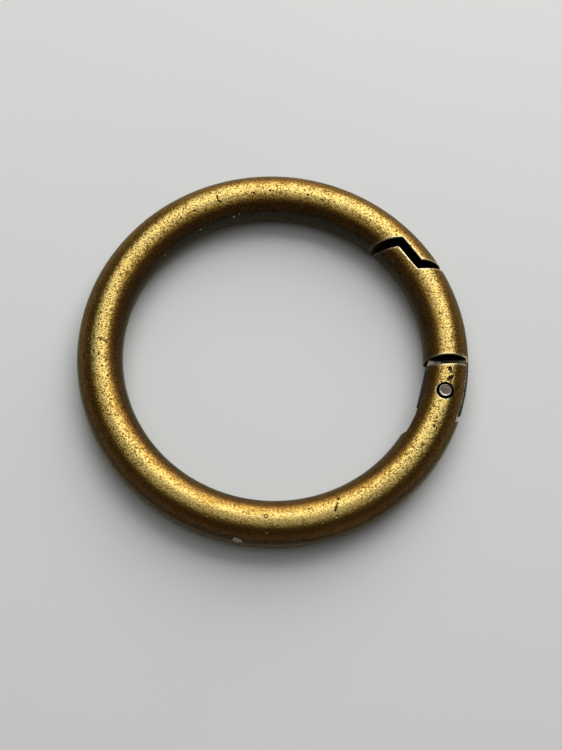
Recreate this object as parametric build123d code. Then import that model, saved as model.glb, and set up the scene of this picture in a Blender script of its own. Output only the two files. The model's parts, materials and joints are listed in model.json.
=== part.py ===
from build123d import *
import os
from math import cos, radians, sin, tan

# Spring gate ring: a cast ring of round section whose gate swings inwards on a
# riveted pin and is pushed shut by a coil spring in a bore behind the hinge.
# The ring lies in the XY plane, its centre is the origin and +Z is its axis.
# Lengths are in millimetres. Angles are in degrees, anticlockwise from +X.

# Ring
ring_bore = 38.1
wire_diameter = 5.8
wire_radius = wire_diameter / 2
ring_radius = (ring_bore + wire_diameter) / 2

# Parting between gate and ring: narrowest at the middle plane, where the two
# halves of the casting die meet, and opened towards both crowns by the draft
gap_at_middle = 0.25
draft_angle = 9.0
rim_round = 0.2

# Lap joint at the gate's nose: two slanting end faces joined by a long face
lap_offset = 0.05
lap_low_angle = 35.8
lap_high_angle = 46.0
hook_face_tilt = 29.0
nose_face_tilt = 34.0

# Hinge: the gate's tongue stands between two cheeks of the ring, with a flat on its inner side
hinge_angle = -10.3
slot_width = 3.0
tongue_clearance = 0.1
tongue_inner_reach = 2.75
shoulder_reach = 4.32
shoulder_tilt = 17.0
tail_reach = 1.77
slot_reach = 3.8
slot_tilt = 27.0

# Rivet pin
pin_diameter = 1.7
pin_running_clearance = 0.04
pin_seat_clearance = 0.01
pin_end_recess = 0.06
pin_end_bevel = 0.14
pin_mouth_diameter = 2.2
pin_mouth_depth = 0.45

# Closing spring, its wire drawn with a few flat sides, and the bore that it stands in
spring_offset = 1.45
spring_bore_diameter = 2.3
spring_bore_depth = 10.2
spring_wire = 0.4
spring_wire_sides = 8
spring_side_clearance = 0.1
spring_end_clearance = 0.03
spring_turns = 8

# Every cutter passes the metal by this much
overrun = 1.0


def polar(radius, angle):
    """A point of the ring's plane, by its distance from the centre and its angle."""
    return Vector(radius * cos(radians(angle)), radius * sin(radians(angle)), 0)


def outline(*points):
    """A flat face with straight sides through the points."""
    return make_face(Polyline(*points, close=True))


def hinge_frame():
    """The pin's place: local X points away from the ring's centre, local Y towards the gate."""
    return Location(polar(ring_radius, hinge_angle)) * Rot(0, 0, hinge_angle)


def mouth_outline():
    """The middle line of the parting, as a closed outline in the middle plane that runs past the wire."""
    reach = wire_diameter
    peak = polar(ring_radius + lap_offset, lap_high_angle)
    valley = polar(ring_radius + lap_offset, lap_low_angle)
    nose_end = peak + polar(reach, lap_high_angle + 180 - nose_face_tilt)
    hook_end = valley + polar(reach, lap_low_angle - hook_face_tilt)
    across = polar(reach, shoulder_tilt)
    middle = Vector(0, shoulder_reach, 0)
    hinge = hinge_frame()
    inner = (hinge * Pos(middle - across)).position
    outer = (hinge * Pos(middle + across)).position
    return outline(hook_end, valley, peak, nose_end, inner, outer)


def drafted_prism(face, side):
    """The outline moved out (side 1) or in (side -1) by half the gap, drafted towards both crowns."""
    rise = wire_radius + overrun
    middle = offset(face, side * gap_at_middle / 2, kind=Kind.INTERSECTION)
    crown = offset(middle, side * rise * tan(radians(draft_angle)), kind=Kind.INTERSECTION)
    upper = loft([middle, Pos(0, 0, rise) * crown], ruled=True)
    lower = loft([Pos(0, 0, -rise) * crown, middle], ruled=True)
    return upper + lower


def round_rims(piece):
    """Rounds the rims and corners that the drafted cut leaves, as tumbling does to a casting."""
    kept_sharp = (GeomType.LINE, GeomType.CIRCLE)
    rims = [edge for edge in piece.edges() if edge.geom_type not in kept_sharp]
    return fillet(rims, rim_round)


def slab(face, thickness):
    """A flat plate of this outline, centred on the middle plane."""
    return extrude(face, amount=thickness / 2, both=True)


def hinge_slot():
    """The slot between the cheeks, open on both sides, with a floor that is deeper on the inner side."""
    side = wire_diameter
    floor_middle = slot_reach / cos(radians(slot_tilt))
    floor_rise = side * tan(radians(slot_tilt))
    face = outline(
        (-side, -floor_middle - floor_rise),
        (side, -floor_middle + floor_rise),
        (side, shoulder_reach + wire_radius),
        (-side, shoulder_reach + wire_radius),
    )
    return hinge_frame() * slab(face, slot_width)


def pin_hole(clearance):
    """A hole for the rivet pin, right through the wire."""
    return hinge_frame() * Cylinder(pin_diameter / 2 + clearance, wire_diameter + overrun)


def pin_mouths():
    """The countersunk mouths of the pin's hole on both crowns."""
    seat_radius = pin_diameter / 2 + pin_seat_clearance
    mouth_radius = pin_mouth_diameter / 2
    slope = (mouth_radius - seat_radius) / pin_mouth_depth
    mouth = Cone(
        seat_radius,
        mouth_radius + slope * overrun,
        pin_mouth_depth + overrun,
        align=(Align.CENTER, Align.CENTER, Align.MIN),
    )
    upper = Pos(0, 0, wire_radius - pin_mouth_depth) * mouth
    return hinge_frame() * (upper + mirror(upper, about=Plane.XY))


def spring_frame():
    """The floor of the spring's bore: local Z points along the bore towards the gate's tail."""
    return hinge_frame() * Pos(-spring_offset, -spring_bore_depth, 0) * Rot(-90, 0, 0)


def spring_bore():
    """The blind bore for the closing spring, from its floor up into the slot."""
    length = spring_bore_depth - tail_reach
    base = (Align.CENTER, Align.CENTER, Align.MIN)
    return spring_frame() * Cylinder(spring_bore_diameter / 2, length, align=base)


def make_ring_body(wire):
    """The ring with its hook at one end of the mouth and its hinge cheeks at the other."""
    body = round_rims(wire - drafted_prism(mouth_outline(), 1))
    body -= hinge_slot()
    body -= spring_bore()
    body -= pin_hole(pin_seat_clearance)
    return body - pin_mouths()


def make_gate(wire):
    """The gate: an arc of the same wire, with a slanting nose and a flat tongue on the pin."""
    arc = round_rims(wire & drafted_prism(mouth_outline(), -1))
    side = wire_diameter
    tongue_face = outline(
        (-tongue_inner_reach, -tail_reach),
        (side, -tail_reach),
        (side, shoulder_reach + wire_radius),
        (-tongue_inner_reach, shoulder_reach + wire_radius),
    )
    tongue = hinge_frame() * slab(tongue_face, slot_width - 2 * tongue_clearance)
    return arc + (wire & tongue) - pin_hole(pin_running_clearance)


def make_hinge_pin():
    """The rivet pin, flush with both crowns, with bevelled ends."""
    pin = Cylinder(pin_diameter / 2, wire_diameter - 2 * pin_end_recess)
    ends = pin.edges().filter_by(GeomType.CIRCLE)
    return hinge_frame() * chamfer(ends, pin_end_bevel)


def make_closing_spring():
    """The compression spring between the bore's floor and the gate's tail, with both ends ground flat."""
    length = spring_bore_depth - tail_reach - 2 * spring_end_clearance
    mean_radius = spring_bore_diameter / 2 - spring_side_clearance - spring_wire / 2
    path = Helix(length / spring_turns, length, mean_radius)
    section = Plane(origin=path @ 0, z_dir=path % 0) * RegularPolygon(spring_wire / 2, spring_wire_sides)
    coil = sweep(section, path=path, is_frenet=True)
    base = (Align.CENTER, Align.CENTER, Align.MIN)
    ground = Cylinder(spring_bore_diameter, length, align=base)
    return spring_frame() * Pos(0, 0, spring_end_clearance) * (coil & ground)


def main():
    os.makedirs("parts", exist_ok=True)
    wire = Rot(0, 0, 180) * Torus(ring_radius, wire_radius)
    pieces = {
        "ring_body": make_ring_body(wire),
        "gate": make_gate(wire),
        "hinge_pin": make_hinge_pin(),
        "closing_spring": make_closing_spring(),
    }
    for name, piece in pieces.items():
        export_step(piece, f"parts/{name}.step")
        print(name, "volume", round(piece.volume, 2), "solids", len(piece.solids()))


main()
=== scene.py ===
# %% [markdown]
# # A spring gate ring in antique brass
# The ring is a zinc casting, plated with brass, blackened and then rubbed, so that its crown shines and its
# sides stay brown. Its gate swings inwards on a rivet, and a hidden coil spring shuts it again.
# The solids come from the CAD frame. This lesson dresses them: camera, floor and light first, then denser
# skins for the castings with their pits and scratches, the rivet and the spring, and the finishes last.

# %% Load the frame
import json
import math
import random

import bpy
import numpy as np
from mathutils import Matrix, Vector, kdtree

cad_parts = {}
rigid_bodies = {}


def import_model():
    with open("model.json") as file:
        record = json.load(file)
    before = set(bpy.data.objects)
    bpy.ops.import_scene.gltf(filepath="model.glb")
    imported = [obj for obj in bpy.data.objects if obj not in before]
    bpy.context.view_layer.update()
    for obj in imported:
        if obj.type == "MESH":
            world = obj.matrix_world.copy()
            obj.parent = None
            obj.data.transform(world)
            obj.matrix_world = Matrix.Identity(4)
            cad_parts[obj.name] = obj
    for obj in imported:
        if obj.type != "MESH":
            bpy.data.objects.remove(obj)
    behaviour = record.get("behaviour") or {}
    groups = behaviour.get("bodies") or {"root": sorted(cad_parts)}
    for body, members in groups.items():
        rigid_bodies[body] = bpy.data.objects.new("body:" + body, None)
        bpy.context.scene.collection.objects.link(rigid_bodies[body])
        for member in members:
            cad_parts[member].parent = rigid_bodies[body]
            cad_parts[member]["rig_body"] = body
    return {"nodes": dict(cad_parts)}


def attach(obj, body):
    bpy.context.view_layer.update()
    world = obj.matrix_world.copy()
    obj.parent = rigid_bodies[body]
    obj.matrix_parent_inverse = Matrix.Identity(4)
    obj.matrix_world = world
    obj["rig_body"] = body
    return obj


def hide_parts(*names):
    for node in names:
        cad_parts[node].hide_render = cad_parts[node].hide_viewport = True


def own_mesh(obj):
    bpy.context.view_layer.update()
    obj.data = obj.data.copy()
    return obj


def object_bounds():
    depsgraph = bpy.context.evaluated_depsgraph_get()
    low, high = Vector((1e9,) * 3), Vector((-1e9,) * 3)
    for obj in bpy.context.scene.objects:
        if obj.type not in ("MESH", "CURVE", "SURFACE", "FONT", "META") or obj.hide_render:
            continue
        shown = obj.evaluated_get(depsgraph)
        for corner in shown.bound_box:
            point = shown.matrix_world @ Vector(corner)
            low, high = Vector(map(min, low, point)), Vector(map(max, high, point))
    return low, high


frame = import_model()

cad_low, cad_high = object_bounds()

# %% [markdown]
# ## The camera
# The picture was taken from above, leaning over the near side of the ring, with the camera turned a little
# to the left. A camera that is aimed with a track direction comes out level, so the turn about its own
# line of sight is added after that. The lens is the one that gives the ring its size in the picture.

# %% Place the camera
MM = 0.001
EYE = Vector((0.0, -57.6228, 162.7554)) * MM
AIM = Vector((1.1551, -2.6169, 0.0)) * MM
ROLL = math.radians(5.516)
LENS = 65.164
SENSOR = 36.0

bpy.ops.object.select_all(action="DESELECT")
bpy.ops.object.camera_add(location=EYE)
camera = bpy.context.object
camera.name = "picture_camera"
camera.rotation_mode = "QUATERNION"
level = (AIM - EYE).to_track_quat("-Z", "Y").to_matrix()
camera.rotation_quaternion = (level @ Matrix.Rotation(ROLL, 3, "Z")).to_quaternion()
camera.data.lens = LENS
camera.data.sensor_width = SENSOR
camera.data.clip_start = 0.01
camera.data.clip_end = 10.0
bpy.context.scene.camera = camera
print("camera stands", round((AIM - EYE).length / MM, 1), "mm from what it looks at")

# %% [markdown]
# ## Floor and light
# The ring lies on plain pale card. A floor alone would end in a hard line in a low view, so a disc is
# raised at its rim into a shallow bowl, which stays pale from every side.
# One large soft lamp stands behind the ring, a little to the right: it draws the bright line along the
# crown. A weaker one hangs overhead and fills the shadows. In front there is only a dark room, and polished
# metal shows what stands in front of it, which is why the near sides of the real ring look almost black.

# %% Make the floor
FLOOR_RADIUS = 0.6
BOWL_STEPS = ((1.2, 0.012), (1.13, 0.038), (1.08, 0.07), (1.04, 0.09), (1.02, 0.1))

bpy.ops.object.select_all(action="DESELECT")
middle = (0.0, 0.0, cad_low.z)
bpy.ops.mesh.primitive_circle_add(vertices=96, radius=FLOOR_RADIUS, fill_type="NGON", location=middle)
floor = bpy.context.object
floor.name = "pale_card"
bpy.ops.object.mode_set(mode="EDIT")
bpy.ops.mesh.select_mode(type="EDGE")
for widen, lift in BOWL_STEPS:
    bpy.ops.mesh.select_all(action="SELECT")
    bpy.ops.mesh.region_to_loop()
    bpy.ops.mesh.extrude_edges_move(TRANSFORM_OT_translate={"value": (0.0, 0.0, lift)})
    bpy.ops.transform.resize(value=(widen, widen, 1.0), center_override=(0.0, 0.0, 0.0))
bpy.ops.object.mode_set(mode="OBJECT")
bpy.ops.object.transform_apply(location=True, rotation=True, scale=True)
bpy.ops.object.shade_smooth()
rim_height = max(corner.co.z for corner in floor.data.vertices)
print("floor:", len(floor.data.polygons), "faces, rim", round(rim_height, 3), "m high")

# %% Light the room
LAMPS = {
    "soft_window": (Vector((0.13, 0.72, 0.66)).normalized(), 0.446, 0.486, 0.486, 2.75),
    "soft_ceiling": (Vector((0.0, 0.12, 1.0)).normalized(), 0.567, 0.837, 0.54, 0.72),
}
ROOM_GLOW = 0.03


def add_lamp(name, way, distance, wide, high, brightness):
    """Adds a flat lamp that faces the ring. The brightness is that of its surface."""
    bpy.ops.object.select_all(action="DESELECT")
    bpy.ops.object.light_add(type="AREA", location=way * distance)
    lamp = bpy.context.object
    lamp.name = name
    lamp.rotation_mode = "QUATERNION"
    lamp.rotation_quaternion = (-way).to_track_quat("-Z", "Y")
    lamp.data.shape = "RECTANGLE"
    lamp.data.size = wide
    lamp.data.size_y = high
    lamp.data.energy = math.pi * wide * high * brightness
    lamp.data.color = (1.0, 1.0, 0.985)
    print(name, round(lamp.data.energy, 2), "W")


for name, lamp in LAMPS.items():
    add_lamp(name, *lamp)
scene = bpy.context.scene
scene.world = bpy.data.worlds.new("dark_room")
scene.world.use_nodes = True
room = scene.world.node_tree.nodes["Background"]
room.inputs["Color"].default_value = (0.98, 0.99, 1.0, 1.0)
room.inputs["Strength"].default_value = ROOM_GLOW
scene.view_settings.view_transform = "Standard"

# %% [markdown]
# ## Denser skins for the castings
# The ring and the gate have the right shape, but their facets are too wide for a pit of a few tenths of a
# millimetre. So each gets a copy of its solid as the piece that is shown. The copy comes as loose
# triangles and is merged first. Then the faces on the round of the wire are subdivided, and the new
# corners, which lie on the straight edges between the old ones, are set out onto the true round.

# %% Helpers for whole pieces
RING_RADIUS = 21.95
WIRE_RADIUS = 2.9
MERGE = 1e-6
ROUND_BAND = 0.012
SKIN_FROM = 2.84


def take_up(piece):
    """Makes this piece the only one that the next operator acts on."""
    bpy.ops.object.select_all(action="DESELECT")
    piece.select_set(True)
    bpy.context.view_layer.objects.active = piece


def corners(piece):
    """The corners of a piece in millimetres, one in each row."""
    flat = np.empty(3 * len(piece.data.vertices))
    piece.data.vertices.foreach_get("co", flat)
    return flat.reshape(-1, 3) / MM


def centres(piece):
    """The middles of a piece's faces in millimetres."""
    flat = np.empty(3 * len(piece.data.polygons))
    piece.data.polygons.foreach_get("center", flat)
    return flat.reshape(-1, 3) / MM


def spans(piece):
    """The widths of a piece's faces in millimetres, as if each were a square."""
    flat = np.empty(len(piece.data.polygons))
    piece.data.polygons.foreach_get("area", flat)
    return np.sqrt(flat) / MM


def from_core(points):
    """How far the points lie from the centre line of the wire."""
    across = np.hypot(points[:, 0], points[:, 1]) - RING_RADIUS
    return np.hypot(across, points[:, 2])


def subdivide_where(piece, wanted):
    """Cuts each wanted face into four."""
    take_up(piece)
    bpy.ops.object.mode_set(mode="EDIT")
    bpy.ops.mesh.select_mode(type="FACE")
    bpy.ops.mesh.select_all(action="DESELECT")
    bpy.ops.object.mode_set(mode="OBJECT")
    piece.data.polygons.foreach_set("select", wanted)
    bpy.ops.object.mode_set(mode="EDIT")
    bpy.ops.mesh.subdivide(number_cuts=1, ngon=False)
    bpy.ops.object.mode_set(mode="OBJECT")


def set_on_round(piece):
    """Moves corners that lie just inside the wire's round out onto it."""
    points = corners(piece)
    depth = from_core(points)
    near = np.abs(depth - WIRE_RADIUS) < ROUND_BAND
    ring = np.arctan2(points[near, 1], points[near, 0])
    core = RING_RADIUS * np.stack([np.cos(ring), np.sin(ring), np.zeros_like(ring)], axis=1)
    points[near] = core + (points[near] - core) * (WIRE_RADIUS / depth[near])[:, None]
    piece.data.vertices.foreach_set("co", (points * MM).ravel())
    piece.data.update()


print("helpers ready")


# %% Copy the two castings
def copy_casting(node, name):
    """Makes a merged copy of a casting's solid, with a denser skin, that is shown in its place."""
    piece = bpy.data.objects.new(name, frame["nodes"][node].data.copy())
    bpy.context.collection.objects.link(piece)
    piece.data.name = name
    piece.data.materials.clear()
    take_up(piece)
    bpy.ops.mesh.customdata_custom_splitnormals_clear()
    bpy.ops.object.mode_set(mode="EDIT")
    bpy.ops.mesh.select_all(action="SELECT")
    bpy.ops.mesh.remove_doubles(threshold=MERGE)
    bpy.ops.mesh.dissolve_degenerate(threshold=MERGE)
    bpy.ops.object.mode_set(mode="OBJECT")
    subdivide_where(piece, from_core(centres(piece)) > SKIN_FROM)
    set_on_round(piece)
    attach(piece, frame["nodes"][node]["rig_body"])
    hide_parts(node)
    print(name, "has", len(piece.data.polygons), "faces")
    return piece


cast_ring = copy_casting("ring_body", "cast_ring")
cast_gate = copy_casting("gate", "cast_gate")

# %% [markdown]
# ## Pits, scratches and an uneven skin
# A zinc casting is never quite smooth: its skin waves by a hundredth of a millimetre, small gas pits open
# in it, and use adds scratches. These are real hollows on this ring, so they are cut into the mesh and not
# only painted. A mark is a line from one place to another, as wide and as deep as it says; a pit is a line
# of no length. A place is given as two angles, round the ring and round its wire, where 90 is the crown.
# Pits hold dark dirt. Chips are shallow and bare, where a knock took the plating off. A blister is a bubble
# under the plating, with a groove round it as far out and as strong as it says.

# %% Places of the marks
PITS = (
    (357.3, 84.5, 0.28, 0.10),
    (356.4, 82.0, 0.22, 0.09),
    (356.8, 87.5, 0.15, 0.07),
    (354.3, 80.5, 0.36, 0.12),
    (353.6, 85.0, 0.27, 0.10),
    (354.9, 76.5, 0.20, 0.08),
    (353.0, 79.0, 0.19, 0.07),
    (339.8, 88.0, 0.15, 0.08),
    (338.4, 87.4, 0.14, 0.08),
    (337.0, 84.8, 0.21, 0.10),
    (336.7, 76.0, 0.15, 0.08),
    (329.6, 87.0, 0.30, 0.04),
    (328.6, 84.0, 0.20, 0.04),
    (296.0, 113.0, 0.19, 0.09),
    (293.7, 72.5, 0.16, 0.08),
    (185.8, 78.0, 0.17, 0.08),
    (187.2, 91.0, 0.14, 0.07),
    (194.8, 110.5, 0.15, 0.07),
    (191.2, 98.8, 0.15, 0.07),
    (189.1, 109.8, 0.13, 0.06),
    (181.4, 65.0, 0.16, 0.07),
    (180.8, 75.6, 0.14, 0.07),
    (172.5, 82.2, 0.15, 0.07),
    (128.5, 104.0, 0.15, 0.07),
    (123.1, 102.6, 0.17, 0.08),
    (101.1, 99.6, 0.16, 0.08),
    (95.5, 96.4, 0.15, 0.07),
    (94.5, 96.5, 0.13, 0.06),
    (93.1, 81.9, 0.14, 0.07),
    (82.3, 97.5, 0.17, 0.08),
    (81.2, 74.1, 0.12, 0.06),
    (77.1, 101.6, 0.15, 0.07),
)
SCRATCHES = (
    ((295.2, 103.0), (294.3, 94.5), 0.11, 0.06),
    ((294.3, 94.5), (293.6, 86.0), 0.17, 0.09),
    ((181.4, 90.0), (182.7, 112.0), 0.12, 0.06),
    ((181.2, 64.0), (181.6, 72.0), 0.08, 0.04),
    ((113.7, 87.5), (113.9, 96.0), 0.13, 0.07),
    ((114.0, 101.0), (113.0, 106.5), 0.15, 0.08),
)
CHIPS = (
    ((263.4, 25.5), (264.3, 22.5), 0.44, 0.03),
    ((271.8, 58.0), (272.3, 57.0), 0.12, 0.02),
    ((217.0, 15.0), (222.0, -5.0), 0.13, 0.02),
    ((123.9, 159.0), (123.6, 156.0), 0.12, 0.02),
    ((109.8, 157.0), (109.6, 154.0), 0.14, 0.02),
    ((107.6, 150.5), (107.5, 149.0), 0.10, 0.02),
    ((141.0, 160.0), (140.6, 158.0), 0.10, 0.02),
)
BLISTERS = ((265.8, 103.0, 0.27, 0.18), (271.5, 97.0, 0.21, 0.4))
SCATTER = 130
SCATTER_SEED = 11
SCATTER_SPREAD = 32.0
SCATTER_SIZES = (0.07, 0.14)
SCATTER_DEPTH_SHARE = 0.45


def on_wire(ring, wire):
    """A point of the wire's skin, by its angle round the ring and its angle round the wire."""
    ring, wire = math.radians(ring), math.radians(wire)
    out = RING_RADIUS + WIRE_RADIUS * math.cos(wire)
    return np.array((out * math.cos(ring), out * math.sin(ring), WIRE_RADIUS * math.sin(wire)))


hollows = [(on_wire(*pit[:2]), on_wire(*pit[:2]), *pit[2:]) for pit in PITS]
hollows += [(on_wire(*start), on_wire(*end), wide, deep) for start, end, wide, deep in SCRATCHES]
chance = random.Random(SCATTER_SEED)
for number in range(SCATTER):
    crown = chance.choice((90.0, -90.0))
    spot = on_wire(chance.uniform(0.0, 360.0), crown + chance.gauss(0.0, SCATTER_SPREAD))
    size = chance.uniform(*SCATTER_SIZES)
    hollows.append((spot, spot, size, SCATTER_DEPTH_SHARE * size))
chips = [(on_wire(*start), on_wire(*end), wide, deep) for start, end, wide, deep in CHIPS]
print(len(hollows), "pits and scratches,", len(chips), "chips,", len(BLISTERS), "blisters")

# %% [markdown]
# The marks are far smaller than the faces, so the faces near them are cut smaller first, and so are those
# along the rims of the cuts, which rubbing wears bright. A face that is fine enough already is left alone,
# which keeps the piece light. Two Displace modifiers then do the shaping. What the finish has to know, such
# as where dirt lies or where a rim is worn, is stored with the corners.

# %% Cut the marks into the skins
WAVE_LENGTH = 1.5
WAVE_DEPTH = 0.016
WAVE_TOP = 1.4
DEEPEST = 0.12
FINEST = 0.048
MARGINS = (0.42, 0.24, 0.10)
RIM_MARGIN_SHARE = 0.6
RIM_FROM, RIM_TO = 2.71, 2.885
EDGE_BAND = 0.01
SKIN_START = 2.80
SKIN_FADE = 0.08
WORN_FADE = 0.06
WORN_PEAK = 1.25
RIM_WIDTH = 0.16
BLISTER_GROOVE = 0.09
STAIN_GAIN = 2.4
BARE_GAIN = 6.0
CREASE = math.radians(35.0)
SLOT_HALF = 1.5
SLOT_REACH = 3.8
SLOT_TILT = math.radians(27.0)
SHOULDER_REACH = 4.32
SHOULDER_TILT = math.radians(17.0)
HINGE_TURN = math.radians(-10.3)
out_way = Vector((math.cos(HINGE_TURN), math.sin(HINGE_TURN), 0.0))
gate_way = Vector((-math.sin(HINGE_TURN), math.cos(HINGE_TURN), 0.0))


def from_hinge(points):
    """How far points lie out from the pin and how far towards the gate."""
    places = points - RING_RADIUS * np.array(out_way)
    return places @ np.array(out_way), places @ np.array(gate_way)


def way_from(points, start, end):
    """The distance of each point from the line between two places."""
    along = end - start
    length = max(float(along @ along), 1e-9)
    share = np.clip((points - start) @ along / length, 0.0, 1.0)
    return np.linalg.norm(points - start - share[:, None] * along, axis=1)


def near_marks(points, margin):
    """True for the points that are within a margin of some mark."""
    close = np.zeros(len(points), bool)
    for start, end, wide, deep in hollows + chips:
        close |= way_from(points, start, end) < wide + margin
    for ring, wire, wide, deep in BLISTERS:
        close |= np.linalg.norm(points - on_wire(ring, wire), axis=1) < wide + margin
    return close


def rim_finder(piece):
    """A search tree of the corners on the rounded rims and on the edges of the hinge slot."""
    points = corners(piece)
    depth = from_core(points)
    outwards, forwards = from_hinge(points)
    at_slot = np.abs(np.abs(points[:, 2]) - SLOT_HALF) < EDGE_BAND
    at_slot &= (depth > WIRE_RADIUS - 2 * EDGE_BAND) & (outwards > -2 * WIRE_RADIUS)
    at_slot &= forwards > outwards * math.tan(SLOT_TILT) - SLOT_REACH / math.cos(SLOT_TILT)
    at_slot &= forwards < outwards * math.tan(SHOULDER_TILT) + SHOULDER_REACH
    rims = points[((depth > RIM_FROM) & (depth < RIM_TO)) | at_slot]
    tree = kdtree.KDTree(len(rims))
    for number, rim in enumerate(rims):
        tree.insert(rim, number)
    tree.balance()
    return tree


def way_to_rim(tree, points):
    """The distance of each point from the nearest rim."""
    return np.array([tree.find(point)[2] for point in points])


def push_in(piece, name, share, depth, texture=None):
    """Moves the corners inwards by their share of the depth, with or without a texture."""
    group = piece.vertex_groups.new(name=name)
    for corner in np.flatnonzero(share > 0.001):
        group.add([int(corner)], float(share[corner]), "REPLACE")
    take_up(piece)
    push = piece.modifiers.new(name, "DISPLACE")
    push.vertex_group = name
    push.strength = depth * MM if texture else -depth * MM
    push.mid_level = WAVE_TOP if texture else 0.0
    if texture:
        push.texture = texture
        push.texture_coords = "LOCAL"
    bpy.ops.object.modifier_apply(modifier=name)
    piece.vertex_groups.remove(piece.vertex_groups[name])


def keep_share(piece, name, share):
    """Stores a number from 0 to 1 at each corner, which a finish can read."""
    stored = piece.data.attributes.new(name, "FLOAT", "POINT")
    stored.data.foreach_set("value", np.clip(share, 0.0, 1.0).astype(np.float32))


def deepest(points, lines):
    """How far each point lies in its deepest mark, as a share of the deepest mark of all."""
    most = np.zeros(len(points))
    for start, end, wide, deep in lines:
        fall = np.clip(1.0 - (way_from(points, start, end) / wide) ** 2, 0.0, 1.0)
        most = np.maximum(most, fall * deep / DEEPEST)
    return most


waves = bpy.data.textures.new("casting_waves", "CLOUDS")
waves.noise_scale = WAVE_LENGTH * MM
waves.noise_depth = 2


def wear(piece):
    """Waves the skin, cuts the marks into it, and stores where dirt lies and where metal is bare."""
    rims = rim_finder(piece)
    for margin in MARGINS:
        middles = centres(piece)
        close = near_marks(middles, margin) | (way_to_rim(rims, middles) < RIM_MARGIN_SHARE * margin)
        close &= (from_core(middles) > SKIN_START) & (spans(piece) > FINEST)
        subdivide_where(piece, close)
        set_on_round(piece)
    points = corners(piece)
    depth = from_core(points)
    skin = np.clip((depth - SKIN_START) / SKIN_FADE, 0.0, 1.0)
    pitted = deepest(points, hollows)
    for ring, wire, wide, deep in BLISTERS:
        off = np.abs(np.linalg.norm(points - on_wire(ring, wire), axis=1) - wide) / BLISTER_GROOVE
        pitted = np.maximum(pitted, np.clip(1.0 - off ** 2, 0.0, 1.0) * deep)
    chipped = deepest(points, chips)
    worn = WORN_PEAK - way_to_rim(rims, points) / RIM_WIDTH
    worn *= np.clip((depth - SKIN_START) / WORN_FADE, 0.0, 1.0)
    push_in(piece, "waves", skin, WAVE_DEPTH, waves)
    push_in(piece, "hollows", np.maximum(pitted, chipped) * skin, DEEPEST)
    keep_share(piece, "stain", STAIN_GAIN * pitted * skin)
    keep_share(piece, "bare", BARE_GAIN * chipped * skin)
    keep_share(piece, "worn", worn)
    take_up(piece)
    bpy.ops.object.shade_smooth_by_angle(angle=CREASE)
    piece.data.calc_loop_triangles()
    print(piece.name, "worn:", len(piece.data.loop_triangles), "triangles")


wear(cast_ring)
wear(cast_gate)

# %% [markdown]
# ## The rivet
# The gate turns on a steel pin that is riveted over at both ends. Its end is not a plain disc: the tool
# struck a little off centre, and left a bright lip round a dull dished middle that lies to one side. A
# cylinder is the start. Each end is drawn in to a bevel, then inset and pushed back to make the lip and the
# dish, and both are moved over by the tool's error.

# %% Model the rivet
PIN_AT = RING_RADIUS * out_way * MM
PIN_RADIUS = 0.85 * MM
PIN_HALF = 2.84 * MM
PIN_BEVEL = 0.11 * MM
LIP_WIDTH = 0.04 * MM
DISH_SLOPE = 0.10 * MM
DISH_DEPTH = 0.07 * MM
DISH_FLAT = 0.05 * MM
SOFT_EDGE = 0.03 * MM
END_SHIFT = Vector((0.10, 0.05, 0.0)) * MM
DISH_SHIFT = Vector((0.06, 0.06, 0.0)) * MM


def pick_faces(piece, wanted):
    """Leaves only the wanted faces selected, in edit mode."""
    bpy.ops.object.mode_set(mode="OBJECT")
    for face in piece.data.polygons:
        face.select = wanted(face)
    bpy.ops.object.mode_set(mode="EDIT")


bpy.ops.object.select_all(action="DESELECT")
bpy.ops.mesh.primitive_cylinder_add(
    vertices=64, radius=PIN_RADIUS, depth=2 * (PIN_HALF - PIN_BEVEL), end_fill_type="NGON", location=PIN_AT)
rivet = bpy.context.object
rivet.name = "rivet_pin"
bpy.ops.object.transform_apply(location=True, rotation=True, scale=True)
bpy.ops.object.mode_set(mode="EDIT")
bpy.ops.mesh.select_mode(type="FACE")
bpy.ops.mesh.select_all(action="DESELECT")
drawn_in = (PIN_RADIUS - PIN_BEVEL) / PIN_RADIUS
for side in (1.0, -1.0):
    pick_faces(rivet, lambda face: face.normal.z * side > 0.9)
    bpy.ops.mesh.extrude_region_move(TRANSFORM_OT_translate={"value": (0.0, 0.0, side * PIN_BEVEL)})
    bpy.ops.transform.resize(value=(drawn_in, drawn_in, 1.0), center_override=PIN_AT)
    bpy.ops.transform.translate(value=END_SHIFT)
    bpy.ops.mesh.inset(thickness=LIP_WIDTH)
    bpy.ops.mesh.inset(thickness=DISH_SLOPE)
    bpy.ops.transform.translate(value=DISH_SHIFT + Vector((0.0, 0.0, -side * DISH_DEPTH)))
    bpy.ops.mesh.inset(thickness=DISH_FLAT)
bpy.ops.object.mode_set(mode="OBJECT")
soften = rivet.modifiers.new("soften", "BEVEL")
soften.width = SOFT_EDGE
soften.segments = 2
soften.limit_method = "ANGLE"
soften.angle_limit = math.radians(20.0)
bpy.ops.object.modifier_apply(modifier="soften")
bpy.ops.object.shade_smooth_by_angle(angle=math.radians(40.0))
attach(rivet, "ring")
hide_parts("hinge_pin")
print("rivet:", len(rivet.data.polygons), "faces")

# %% [markdown]
# ## The closing spring
# Behind the hinge a coil stands in a blind bore and presses on the gate's tail. Its end turns lie close and
# are ground flat, so that it stands straight. A curve with a round bevel is the easy way to a wire: its
# points climb slowly over the end turns and fast between them. Made a mesh, it is cut flat at both ends.
# As the gate opens, the tail pushes the spring together.

# %% Model the spring
BORE_DEPTH = 10.2
TAIL_REACH = 1.77
SPRING_OFFSET = 1.45
SPRING_END_CLEARANCE = 0.03
COIL_WIRE = 0.4
COIL_RADIUS = 0.85
COIL_TURNS = 9
POINTS_PER_TURN = 24

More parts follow.
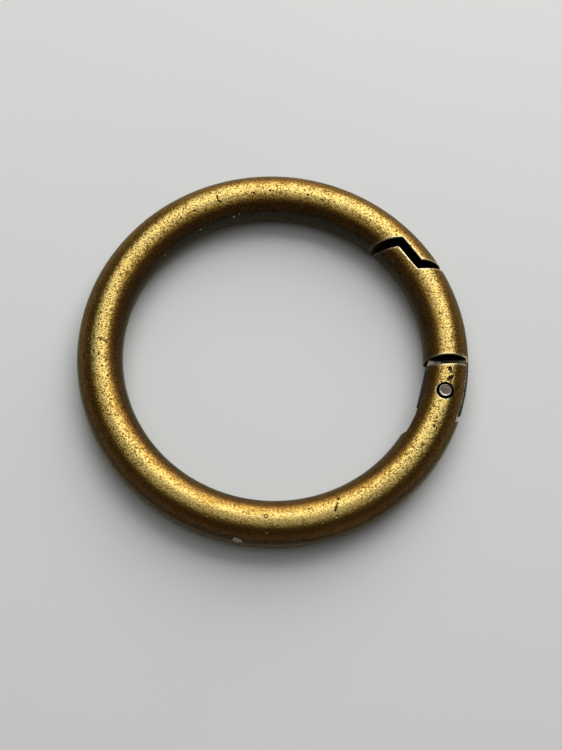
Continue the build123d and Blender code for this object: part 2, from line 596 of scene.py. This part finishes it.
bore_floor = PIN_AT - out_way * SPRING_OFFSET * MM - gate_way * BORE_DEPTH * MM
coil_length = BORE_DEPTH - TAIL_REACH - 2 * SPRING_END_CLEARANCE
open_pitch = (coil_length - 2 * COIL_WIRE) / (COIL_TURNS - 2)


def climb(turn):
    """The height of the wire above its lower end after so many turns."""
    if turn < 1:
        return COIL_WIRE * turn
    if turn > COIL_TURNS - 1:
        return coil_length - COIL_WIRE * (COIL_TURNS - turn)
    return COIL_WIRE + open_pitch * (turn - 1)


wire_line = bpy.data.curves.new("closing_coil", "CURVE")
wire_line.dimensions = "3D"
wire_line.bevel_depth = COIL_WIRE / 2 * MM
wire_line.bevel_resolution = 2
wire_line.use_fill_caps = True
spline = wire_line.splines.new("POLY")
spline.points.add(COIL_TURNS * POINTS_PER_TURN)
for number, point in enumerate(spline.points):
    turn = number / POINTS_PER_TURN
    angle = 2 * math.pi * turn
    round_part = Vector((0.0, 0.0, math.cos(angle))) - out_way * math.sin(angle)
    height = SPRING_END_CLEARANCE + climb(turn)
    point.co = (*(bore_floor + (round_part * COIL_RADIUS + gate_way * height) * MM), 1.0)
coil = bpy.data.objects.new("closing_coil", wire_line)
bpy.context.collection.objects.link(coil)
take_up(coil)
bpy.ops.object.convert(target="MESH")
coil = bpy.context.object
bpy.ops.object.mode_set(mode="EDIT")
for height, keep_inner in ((SPRING_END_CLEARANCE, False), (SPRING_END_CLEARANCE + coil_length, True)):
    bpy.ops.mesh.select_all(action="SELECT")
    bpy.ops.mesh.bisect(
        plane_co=bore_floor + gate_way * height * MM, plane_no=gate_way, use_fill=True,
        clear_inner=not keep_inner, clear_outer=keep_inner)
bpy.ops.object.mode_set(mode="OBJECT")
bpy.ops.object.shade_smooth_by_angle(angle=math.radians(50.0))
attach(coil, "ring")
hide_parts("closing_spring")
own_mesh(coil)
print("coil:", len(coil.data.polygons), "faces,", round(coil_length, 2), "mm long")

# %% [markdown]
# ## Writing finishes as sums
# A finish is a web of nodes, and a web is hard to read. The class below wraps one output of a node, so
# that a sum such as `1 - rubbed` adds the Math nodes that work it out. Every other node comes from its one
# `node` method: first the settings, then a value or a link for each socket.


# %% A socket that can be written in sums
class Signal:
    def __init__(self, tree, socket=None):
        self.tree = tree
        self.socket = socket

    def node(self, kind, settings, sockets, output=0):
        made = self.tree.nodes.new("ShaderNode" + kind)
        for name, value in settings.items():
            setattr(made, name, value)
        for name, value in sockets.items():
            if isinstance(value, Signal):
                self.tree.links.new(value.socket, made.inputs[name])
            else:
                made.inputs[name].default_value = value
        return Signal(self.tree, made.outputs[output])

    def maths(self, operation, first, second=0.0):
        return self.node("Math", {"operation": operation}, {0: first, 1: second})

    def __add__(self, other):
        return self.maths("ADD", self, other)

    def __radd__(self, other):
        return self.maths("ADD", other, self)

    def __sub__(self, other):
        return self.maths("SUBTRACT", self, other)

    def __rsub__(self, other):
        return self.maths("SUBTRACT", other, self)

    def __mul__(self, other):
        return self.maths("MULTIPLY", self, other)

    def __rmul__(self, other):
        return self.maths("MULTIPLY", other, self)

    def __truediv__(self, other):
        return self.maths("DIVIDE", self, other)

    def __abs__(self):
        return self.maths("ABSOLUTE", self)

    def root(self):
        return self.maths("SQRT", self)

    def most(self, other):
        return self.maths("MAXIMUM", self, other)

    def rise(self, low, high):
        settings = {"interpolation_type": "SMOOTHSTEP"}
        return self.node("MapRange", settings, {"Value": self, "From Min": low, "From Max": high})


def mix(share, first, second):
    """A colour that goes from the first to the second as the share goes from 0 to 1."""
    first = (*first, 1.0) if isinstance(first, tuple) else first
    second = (*second, 1.0) if isinstance(second, tuple) else second
    return share.node("Mix", {"data_type": "RGBA"}, {0: share, 6: first, 7: second}, output=2)


class Finish:
    """A material with its shader, and the place on the piece in millimetres."""

    def __init__(self, name):
        self.material = bpy.data.materials.new(name)
        self.material.use_nodes = True
        self.tree = self.material.node_tree
        self.shader = self.tree.nodes["Principled BSDF"]
        place = Signal(self.tree).node("TexCoord", {}, {}, output="Object")
        self.at = place.node("VectorMath", {"operation": "SCALE"}, {"Vector": place, "Scale": 1 / MM})

    def noise(self, scale, detail=2.0, roughness=0.5, at=None):
        sockets = {"Vector": at or self.at, "Scale": scale, "Detail": detail, "Roughness": roughness}
        return self.at.node("TexNoise", {}, sockets)

    def feed(self, **sockets):
        """Gives sockets of the shader a number, a colour or a link, by their names with _ for a space."""
        for name, value in sockets.items():
            socket = self.shader.inputs[name.replace("_", " ")]
            if isinstance(value, Signal):
                self.tree.links.new(value.socket, socket)
            else:
                socket.default_value = value

    def bump(self, height, strength=1.0):
        """Feeds a height in millimetres to the shader as a fine unevenness."""
        self.feed(Normal=height.node("Bump", {}, {"Height": height, "Strength": strength, "Distance": MM}))


print("shader sums are ready")

# %% [markdown]
# ## Pale card
# Card is matt and has a faint unevenness that a smooth grey would lack. A soft noise in the colour is
# enough at this distance.

# %% Finish of the floor
card = Finish("pale_card")
cloud = card.noise(0.014, detail=3.0)
card.feed(Base_Color=mix(cloud, (0.78, 0.79, 0.785), (0.84, 0.845, 0.835)), Roughness=0.8)
card.feed(Specular_IOR_Level=0.2)
floor.data.materials.append(card.material)
print("card:", len(card.tree.nodes), "nodes")

# %% [markdown]
# ## Antique brass
# The finish is made in three steps at the works: brass plating, a black bath, and a drum of soft media
# that rubs the black off whatever stands proud. So the place on the wire decides the colour. In
# millimetres, `across` is the way out from the middle of the wire, `depth` the way from its centre line,
# and `crown` is 1 on the top and bottom lines. The crown is rubbed gold, and its very top is paler still,
# partly from the rubbing and partly as a painted highlight. The shoulders are a deep brown gold, the
# flanks keep a brown skin, and a cut face, deeper than the wire's skin, stays black but for the thin bright
# line along its rim. The hole round the pin is painted black as a painted shade of the gap there, and a
# bright line on the lower left of its rim is a painted highlight. Specks of black stay everywhere, fewer on
# the near side, which is rubbed smoother.

# %% Places on the wire
MOUTH_SHIFT = 0.05
brass = Finish("antique_brass")
east, north, up = (brass.at.node("SeparateXYZ", {}, {"Vector": brass.at}, output=axis) for axis in "XYZ")
across = (east * east + north * north).root() - RING_RADIUS
depth = (across * across + up * up).root()
crown = abs(up) / depth.most(0.1)
skin = depth.rise(2.74, 2.82)
inner_wall = across.rise(-1.9, -2.85)
foot = crown.rise(0.5, 0.25)
right = east - (PIN_AT.x / MM + MOUTH_SHIFT)
ahead = north - PIN_AT.y / MM
to_pin = (right * right + ahead * ahead).root()
# The hole round the pin, and a little of the brass beside it, is painted black: painted shade of the gap.
mouth_shade = to_pin.rise(1.15, 1.10)
# A bright line on the lower left of the hole's rim only: a painted highlight.
mouth_rim_highlight = to_pin.rise(1.08, 1.13) * to_pin.rise(1.28, 1.18) * (right + ahead).rise(0.4, -0.8)
print("places on the wire:", len(brass.tree.nodes), "nodes")

# %% Grain and rubbing
grain = brass.noise(3.8, detail=2.0, roughness=0.6)
dust = brass.noise(8.5, detail=1.0, roughness=0.6)
blotch = brass.noise(0.6, detail=2.0)
drift = brass.noise(0.12, detail=1.0)
ragged = (grain - 0.5) * 0.22 + (blotch - 0.5) * 0.10 + (drift - 0.5) * 0.10
rubbed = (crown + ragged).rise(0.80, 0.97)
shoulder = (crown + ragged).rise(0.45, 0.90)
speck = (grain * 0.6 + dust * 0.4 + (blotch - 0.5) * 0.06).rise(0.505, 0.435)
smoothed = (north + blotch * 4).rise(-12.0, -19.0)
stain, bare, worn = (brass.at.node("Attribute", {"attribute_name": name}, {}, output="Fac")
                     for name in ("stain", "bare", "worn"))
print("grain and rubbing:", len(brass.tree.nodes), "nodes")

# %% Colours of the brass
PALE_GOLD_AND_HIGHLIGHT = (0.485, 0.354, 0.107)
GOLD = (0.38, 0.228, 0.036)
SPECK = (0.065, 0.032, 0.007)
SHOULDER = (0.28, 0.128, 0.030)
PATINA = (0.031, 0.017, 0.0075)
DARK_PATINA = (0.014, 0.008, 0.0045)
FOOT_PATINA = (0.112, 0.079, 0.046)
FOOT_DARK = (0.042, 0.029, 0.018)
WALL_PATINA = (0.030, 0.022, 0.015)
WALL_BLACK = (0.014, 0.010, 0.008)
BLACK = (0.008, 0.006, 0.005)
PIT_BLACK = (0.034, 0.020, 0.014)
WORN_RIM_AND_HIGHLIGHT = (0.74, 0.61, 0.36)
BARE_METAL = (0.40, 0.34, 0.26)

# The very top of the crown is paler, partly from rubbing and partly as a painted highlight.
gold = mix((crown + ragged).rise(0.93, 1.0), GOLD, PALE_GOLD_AND_HIGHLIGHT)
flank = mix(grain.rise(0.42, 0.62), DARK_PATINA, PATINA)
flank = mix(foot, flank, mix((grain * 0.5 + dust * 0.5).rise(0.38, 0.62), FOOT_DARK, FOOT_PATINA))
flank = mix(inner_wall, flank, mix(grain.rise(0.40, 0.60), WALL_BLACK, WALL_PATINA))
colour = mix(rubbed, mix(shoulder, flank, SHOULDER), gold)
speckled = speck * (0.35 + 0.5 * shoulder) * (1 - 0.4 * smoothed)
colour = mix(speckled, colour, mix(shoulder, BLACK, SPECK))
colour = mix(skin, BLACK, colour)
# Worn rims are real wear, and the lower-left line at the hole round the pin is a painted highlight.
bright = worn.most(mouth_rim_highlight) * (grain + 0.3).rise(0.55, 0.78) * (0.1 + 0.9 * across.rise(-2.3, -1.2))
colour = mix(bright, colour, WORN_RIM_AND_HIGHLIGHT)
colour = mix(stain * (dust + 0.25).rise(0.5, 0.75), colour, PIT_BLACK)
colour = mix(bare * grain.rise(0.36, 0.5), colour, BARE_METAL)
# Painted shade of the gap round the pin.
colour = mix(mouth_shade, colour, BLACK)
brass.feed(Base_Color=colour, Specular_Tint=(0.95, 0.88, 0.62, 1.0))
brass.feed(Metallic=1 - 0.45 * bare)
brass.feed(Coat_Weight=0.13 * skin * (1 - stain), Coat_Roughness=0.25)
brass.feed(Roughness=0.27 + speck * 0.12 + (1 - rubbed) * 0.07 + (1 - skin) * 0.2 + stain * 0.25)
brass.bump(grain * 0.030 + dust * 0.020 + blotch * 0.008, strength=0.9)
for piece in (cast_ring, cast_gate):
    piece.data.materials.append(brass.material)
print("antique brass:", len(brass.tree.nodes), "nodes")

# %% [markdown]
# ## The gate's tongue
# The tongue turns between two cheeks, where no media can rub it. Its flat sides are scraped grey by the
# cheeks. Its narrow edge is black, partly the black of the bath and partly painted shade of the slot, with
# a few brown scuffs. Both are faces of the gate's own mesh, so they get a second and a third material,
# picked by their place and by the way that they face.

# %% Finish the tongue
TONGUE_HALF = 1.4
SCRAPED_FROM = 2.2

scraped = Finish("scraped_tongue")
rubs = scraped.noise(1.6, detail=3.0)
lines = scraped.noise(7.0, detail=2.0)
along, outward = (
    scraped.at.node("VectorMath", {"operation": "DOT_PRODUCT"}, {0: scraped.at, 1: way}, output="Value")
    for way in (gate_way, out_way))
near_end = along.rise(SCRAPED_FROM, SCRAPED_FROM + 0.8) * (outward - RING_RADIUS).rise(-0.6, -1.4)
grey = mix(rubs.rise(0.38, 0.64), (0.09, 0.08, 0.072), (0.22, 0.203, 0.185))
scraped.feed(Base_Color=mix(near_end, (0.012, 0.010, 0.009), grey), Metallic=0.9)
scraped.feed(Roughness=0.42 + lines * 0.2)
scraped.bump(lines * 0.01)

# The tongue's narrow edge is black, partly from the bath and partly as painted shade of the slot.
bath_black_and_shade = Finish("bath_black_and_shade_edge")
soot = bath_black_and_shade.noise(3.0, detail=2.0)
scuffed = bath_black_and_shade.noise(5.5, detail=3.0, roughness=0.65)
black = mix(soot.rise(0.4, 0.65), (0.006, 0.005, 0.004), (0.020, 0.015, 0.010))
bath_black_and_shade.feed(Base_Color=mix(scuffed.rise(0.54, 0.68), black, (0.085, 0.058, 0.032)))
bath_black_and_shade.feed(Specular_IOR_Level=0.2, Roughness=0.5 + soot * 0.2)
bath_black_and_shade.bump(soot * 0.02)
for extra in (scraped, bath_black_and_shade):
    cast_gate.data.materials.append(extra.material)

places = centres(cast_gate)
outwards, forwards = from_hinge(places)
behind = forwards < SHOULDER_REACH + outwards * math.tan(SHOULDER_TILT) - 0.05
for face, tongue in zip(cast_gate.data.polygons, behind & (np.abs(places[:, 2]) < TONGUE_HALF + 0.01)):
    if tongue:
        face.material_index = 1 if abs(face.normal.z) > 0.9 else 2
kinds = [face.material_index for face in cast_gate.data.polygons]
print("tongue:", kinds.count(1), "scraped faces,", kinds.count(2), "black faces")

# %% [markdown]
# ## Steel of the rivet and the spring
# The rivet's end is dull grey with brown dirt in the dish and a lip that the riveting tool left bright. Its
# bevel is painted near black, a painted shade of the gap round the pin. The spring is drawn wire, dark
# with oil.

# %% Finish of the rivet and the spring
steel = Finish("rivet_steel")
from_pin = steel.at.node("VectorMath", {"operation": "SUBTRACT"}, {0: steel.at, 1: (PIN_AT + END_SHIFT) / MM})
pin_x, pin_y, pin_z = (steel.at.node("SeparateXYZ", {}, {"Vector": from_pin}, output=axis) for axis in "XYZ")
out = (pin_x * pin_x + pin_y * pin_y).root()
scuff = steel.noise(6.0, detail=3.0, roughness=0.6)
smudge = steel.noise(1.3, detail=2.0)
lip = abs(pin_z).rise(2.775, 2.80) * out.rise(0.78, 0.73)
dull = mix(smudge.rise(0.35, 0.65), (0.08, 0.063, 0.052), (0.15, 0.127, 0.108))
# The rivet's bevel is painted near black: painted shade of the gap round the pin.
dull = mix(out.rise(0.72, 0.78), dull, (0.010, 0.008, 0.007))
steel.feed(Base_Color=mix(lip * scuff.rise(0.42, 0.56), dull, (0.60, 0.53, 0.42)), Metallic=0.95)
steel.feed(Roughness=0.5 - lip * 0.18)
steel.bump(scuff * 0.012 + smudge * 0.03, strength=0.8)
rivet.data.materials.append(steel.material)

wire_steel = Finish("spring_wire")
oil = wire_steel.noise(1.1, detail=3.0)
drawn = wire_steel.noise(9.0, detail=2.0)
wire_steel.feed(Base_Color=mix(oil.rise(0.35, 0.65), (0.14, 0.13, 0.12), (0.38, 0.37, 0.36)), Metallic=1.0)
wire_steel.feed(Roughness=0.3 + drawn * 0.2)
wire_steel.bump(drawn * 0.004)
coil.data.materials.append(wire_steel.material)
print("steel:", len(steel.tree.nodes), "and", len(wire_steel.tree.nodes), "nodes")
